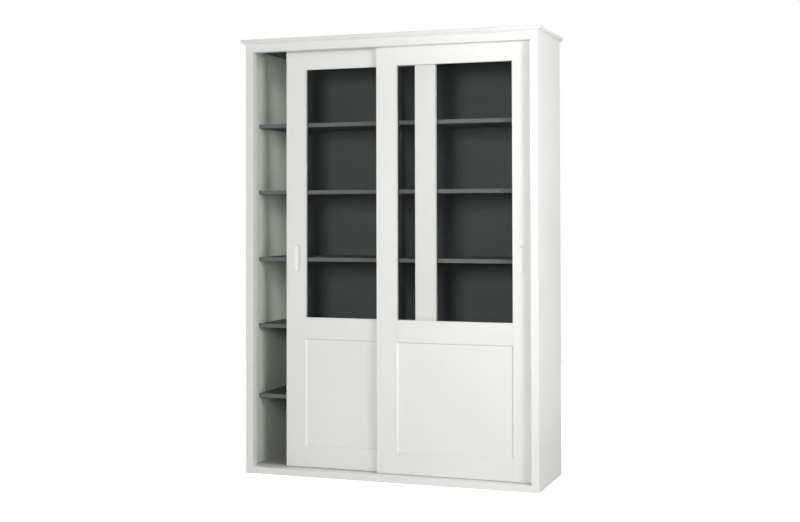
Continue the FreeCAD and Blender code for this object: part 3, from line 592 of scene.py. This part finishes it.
def makeNails(name, node):
    # each head is a turned profile, with y = face + height * rise:
    # x = place + radius * share * cos(turn), and z the same with sin
    look = nailLook
    places, face = nailPlaces(node)
    shares, rises = np.array(look["rings"]).T
    shares, depths = np.append(shares, 1.0), np.append(rises * look["height"], -look["sunk"])
    turns = np.arange(look["turns"]) / look["turns"] * 2 * math.pi
    around = np.stack((np.outer(shares, np.cos(turns)) * look["radius"],
                       np.repeat(depths[:, None], len(turns), axis=1) + face,
                       np.outer(shares, np.sin(turns)) * look["radius"]), axis=2).reshape(-1, 3)
    head = np.vstack((around, [(0, face + look["height"], 0), (0, face - look["sunk"], 0)]))
    points = head[None] + np.insert(places, 1, 0.0, axis=1)[:, None]
    first = np.arange(len(turns))
    last = (len(shares) - 1) * len(turns) + first
    top = np.stack((np.roll(first, -1), first, np.full_like(first, len(head) - 2)), axis=1)
    bottom = np.stack((last, np.roll(last, -1), np.full_like(last, len(head) - 1)), axis=1)
    offsets = np.arange(len(places))[:, None, None] * len(head)
    faceSets = (ringQuads(len(shares), len(turns)), top, bottom)
    faces = [(faceSet[None] + offsets).reshape(-1, faceSet.shape[1]).tolist() for faceSet in faceSets]
    addPiece(name, points.reshape(-1, 3), faces[0] + faces[1] + faces[2], pinSteel, "root")


makeNails("backNailsLeft", "back_panel_left")
makeNails("backNailsRight", "back_panel_right")
print("trim and nails set")


# floor, lights and camera

studio = {
    "floorSize": 9.0,
    "floorColour": (0.80, 0.80, 0.80, 1),
    "floorPatchColour": (0.79, 0.79, 0.79, 1),
    "floorPatches": (0.2, 0.8),
    "floorScale": 1.5,
    "floorRoughness": 0.85,
    "floorGlow": 0.86,  # what the eye sees on top of the lit floor
    "mirrorGlow": (0.9, 2.4, 0.15, 0.72),  # what mirrors see: metres from the object, then strengths
    "mirrorFront": (-3.8, -1.2, 0.03, 1.0),  # and the share of it towards the dark side: Y, then shares
    "lightColour": (1, 1, 1, 1),
    "fill": 0.195,  # soft light from all around
    "backFill": 0.10,  # what the white sweep behind the object adds to it
    "sweepFrom": (0.0, 0.8),  # Y of a direction, from none of that to all of it
    "darkRoom": (-0.75, 0.1, 0.012, 1.0),  # mirrors find the camera's side dark: Y, then strengths
    "backdrop": 1.0,  # what the eye sees behind everything
}


def makeFloor():
    material, tree, surface, place = startMaterial("paleFloor")
    grain = useGroup(tree, grainGroup, **{"Place": place, "Broad Scale": studio["floorScale"]})
    patches = spread(tree, grain["Broad"], *studio["floorPatches"])
    tone = mixColours(tree, patches, studio["floorColour"], studio["floorPatchColour"])
    shader = put(tree, "ShaderNodeBsdfPrincipled",
                 {"Base Color": tone, "Roughness": studio["floorRoughness"], "Specular IOR Level": 0.0})
    rays = put(tree, "ShaderNodeLightPath").outputs
    apart = put(tree, "ShaderNodeVectorMath", {0: place}, operation="LENGTH").outputs["Value"]
    nearGlow = spread(tree, apart, *studio["mirrorGlow"])
    frontShare = spread(tree, axisOf(tree, place, "Y"), *studio["mirrorFront"])
    mirrored = sums(tree, "MAXIMUM", rays["Is Glossy Ray"], rays["Is Transmission Ray"])
    mirrored = sums(tree, "MULTIPLY", mirrored, nearGlow)
    mirrored = sums(tree, "MULTIPLY", mirrored, frontShare)
    seen = sums(tree, "MULTIPLY", rays["Is Camera Ray"], studio["floorGlow"])
    strength = sums(tree, "MAXIMUM", seen, mirrored)
    glow = put(tree, "ShaderNodeEmission", {"Color": studio["lightColour"], "Strength": strength})
    both = put(tree, "ShaderNodeAddShader", {0: shader.outputs[0], 1: glow.outputs[0]})
    tree.links.new(both.outputs[0], surface)
    half = studio["floorSize"] / 2
    mesh = bpy.data.meshes.new("studioFloor")
    corners = [(-half, -half, 0), (half, -half, 0), (half, half, 0), (-half, half, 0)]
    mesh.from_pydata(corners, [], [(0, 1, 2, 3)])
    mesh.materials.append(material)
    floor = bpy.data.objects.new("studioFloor", mesh)
    bpy.context.scene.collection.objects.link(floor)


def makeWorld():
    # white to the eye, dark or white to mirrors, and a soft fill to everything else
    world = bpy.data.worlds.new("studioWorld")
    bpy.context.scene.world = world
    world.use_nodes = True
    tree = world.node_tree
    tree.nodes.clear()
    facing = axisOf(tree, put(tree, "ShaderNodeTexCoord").outputs["Generated"], "Y")
    sweep = spread(tree, facing, *studio["sweepFrom"], 0.0, studio["backFill"])
    room = spread(tree, facing, *studio["darkRoom"])
    fill, mirrored, seen = (
        put(tree, "ShaderNodeBackground", {"Color": studio["lightColour"], "Strength": strength}).outputs[0]
        for strength in (sums(tree, "ADD", studio["fill"], sweep), room, studio["backdrop"]))
    rays = put(tree, "ShaderNodeLightPath").outputs
    reflected = sums(tree, "MAXIMUM", rays["Is Glossy Ray"], rays["Is Transmission Ray"])
    first = put(tree, "ShaderNodeMixShader", {0: reflected, 1: fill, 2: mirrored}).outputs[0]
    second = put(tree, "ShaderNodeMixShader", {0: rays["Is Camera Ray"], 1: first, 2: seen}).outputs[0]
    end = put(tree, "ShaderNodeOutputWorld")
    tree.links.new(second, end.inputs["Surface"])


lamps = {
    # each a soft box: where it hangs and what it looks at, how wide and how tall, in metres, and watts
    "keyLamp": {
        "place": (0.30, -4.70, 2.00),
        "aim": (0, 0, 1.0),
        "size": (1.15, 1.3),
        "power": 89,
    },
    "sideLamp": {  # close by on the right, raking across the front
        "place": (1.50, -1.00, 1.46),
        "aim": (-0.5, -0.80, 1.36),
        "size": (0.42, 2.0),
        "power": 7.8,
    },
    "backLamp": {
        "place": (-2.6, 4.2, 2.6),
        "aim": (0, 0, 1.1),
        "size": (2.0, 2.0),
        "power": 110,
    },
    "rightLamp": {
        "place": (4.0, -0.60, 2.6),
        "aim": (0.7, 0, 1.5),
        "size": (1.5, 1.5),
        "power": 29,
    },
    "windowLamp": {  # through the glass, on to the left inner side
        "place": (3.15, -2.35, 2.40),
        "aim": (0, 0, 1.3),
        "size": (1.0, 1.0),
        "power": 36,
    },
}


def makeLamp(name):
    # a rectangle of light turned from its place to its aim, which the camera doesn't see
    given = lamps[name]
    data = bpy.data.lights.new(name, "AREA")
    data.shape = "RECTANGLE"
    data.size, data.size_y = given["size"]
    data.energy = given["power"]
    lamp = bpy.data.objects.new(name, data)
    lamp.location = given["place"]
    lamp.rotation_mode = "QUATERNION"
    lamp.rotation_quaternion = (Vector(given["aim"]) - Vector(given["place"])).to_track_quat("-Z", "Y")
    lamp.visible_camera = False
    bpy.context.scene.collection.objects.link(lamp)


cameraView = {
    "width": 800,  # of the view, in pixels
    "height": 522,
    "focalPixels": 1273.06,
    "centrePixel": (432.05, 185.30),  # where the optical axis meets the view
    "place": (2.13267, -5.77737, 1.26250),
    "turn": 0.32977,  # radians to the left of the object's own axis
    "lift": 0.02067,
    "roll": -0.00275,
    "sensor": 36.0,
    "clip": (0.1, 200),
}


def makeCamera():
    view = cameraView
    data = bpy.data.cameras.new("bookcaseCamera")
    data.sensor_fit = "HORIZONTAL"
    data.sensor_width = view["sensor"]
    data.lens = view["focalPixels"] / view["width"] * view["sensor"]
    data.shift_x = (view["width"] / 2 - view["centrePixel"][0]) / view["width"]
    data.shift_y = (view["centrePixel"][1] - view["height"] / 2) / view["width"]
    data.clip_start, data.clip_end = view["clip"]
    turn, lift, roll = view["turn"], view["lift"], view["roll"]
    level = Vector((-math.sin(turn), math.cos(turn), 0))
    right = Vector((math.cos(turn), math.sin(turn), 0))
    ahead = level * math.cos(lift) + Vector((0, 0, math.sin(lift)))
    up = right.cross(ahead)
    side = right * math.cos(roll) + up * math.sin(roll)
    top = up * math.cos(roll) - right * math.sin(roll)
    camera = bpy.data.objects.new("bookcaseCamera", data)
    axes = Matrix((side, top, -ahead)).transposed()
    camera.matrix_world = Matrix.Translation(view["place"]) @ axes.to_4x4()
    bpy.context.scene.collection.objects.link(camera)
    bpy.context.scene.camera = camera


makeFloor()
makeWorld()
for name in lamps:
    makeLamp(name)
makeCamera()
bpy.context.scene.view_settings.view_transform = "Standard"
print("studio set")
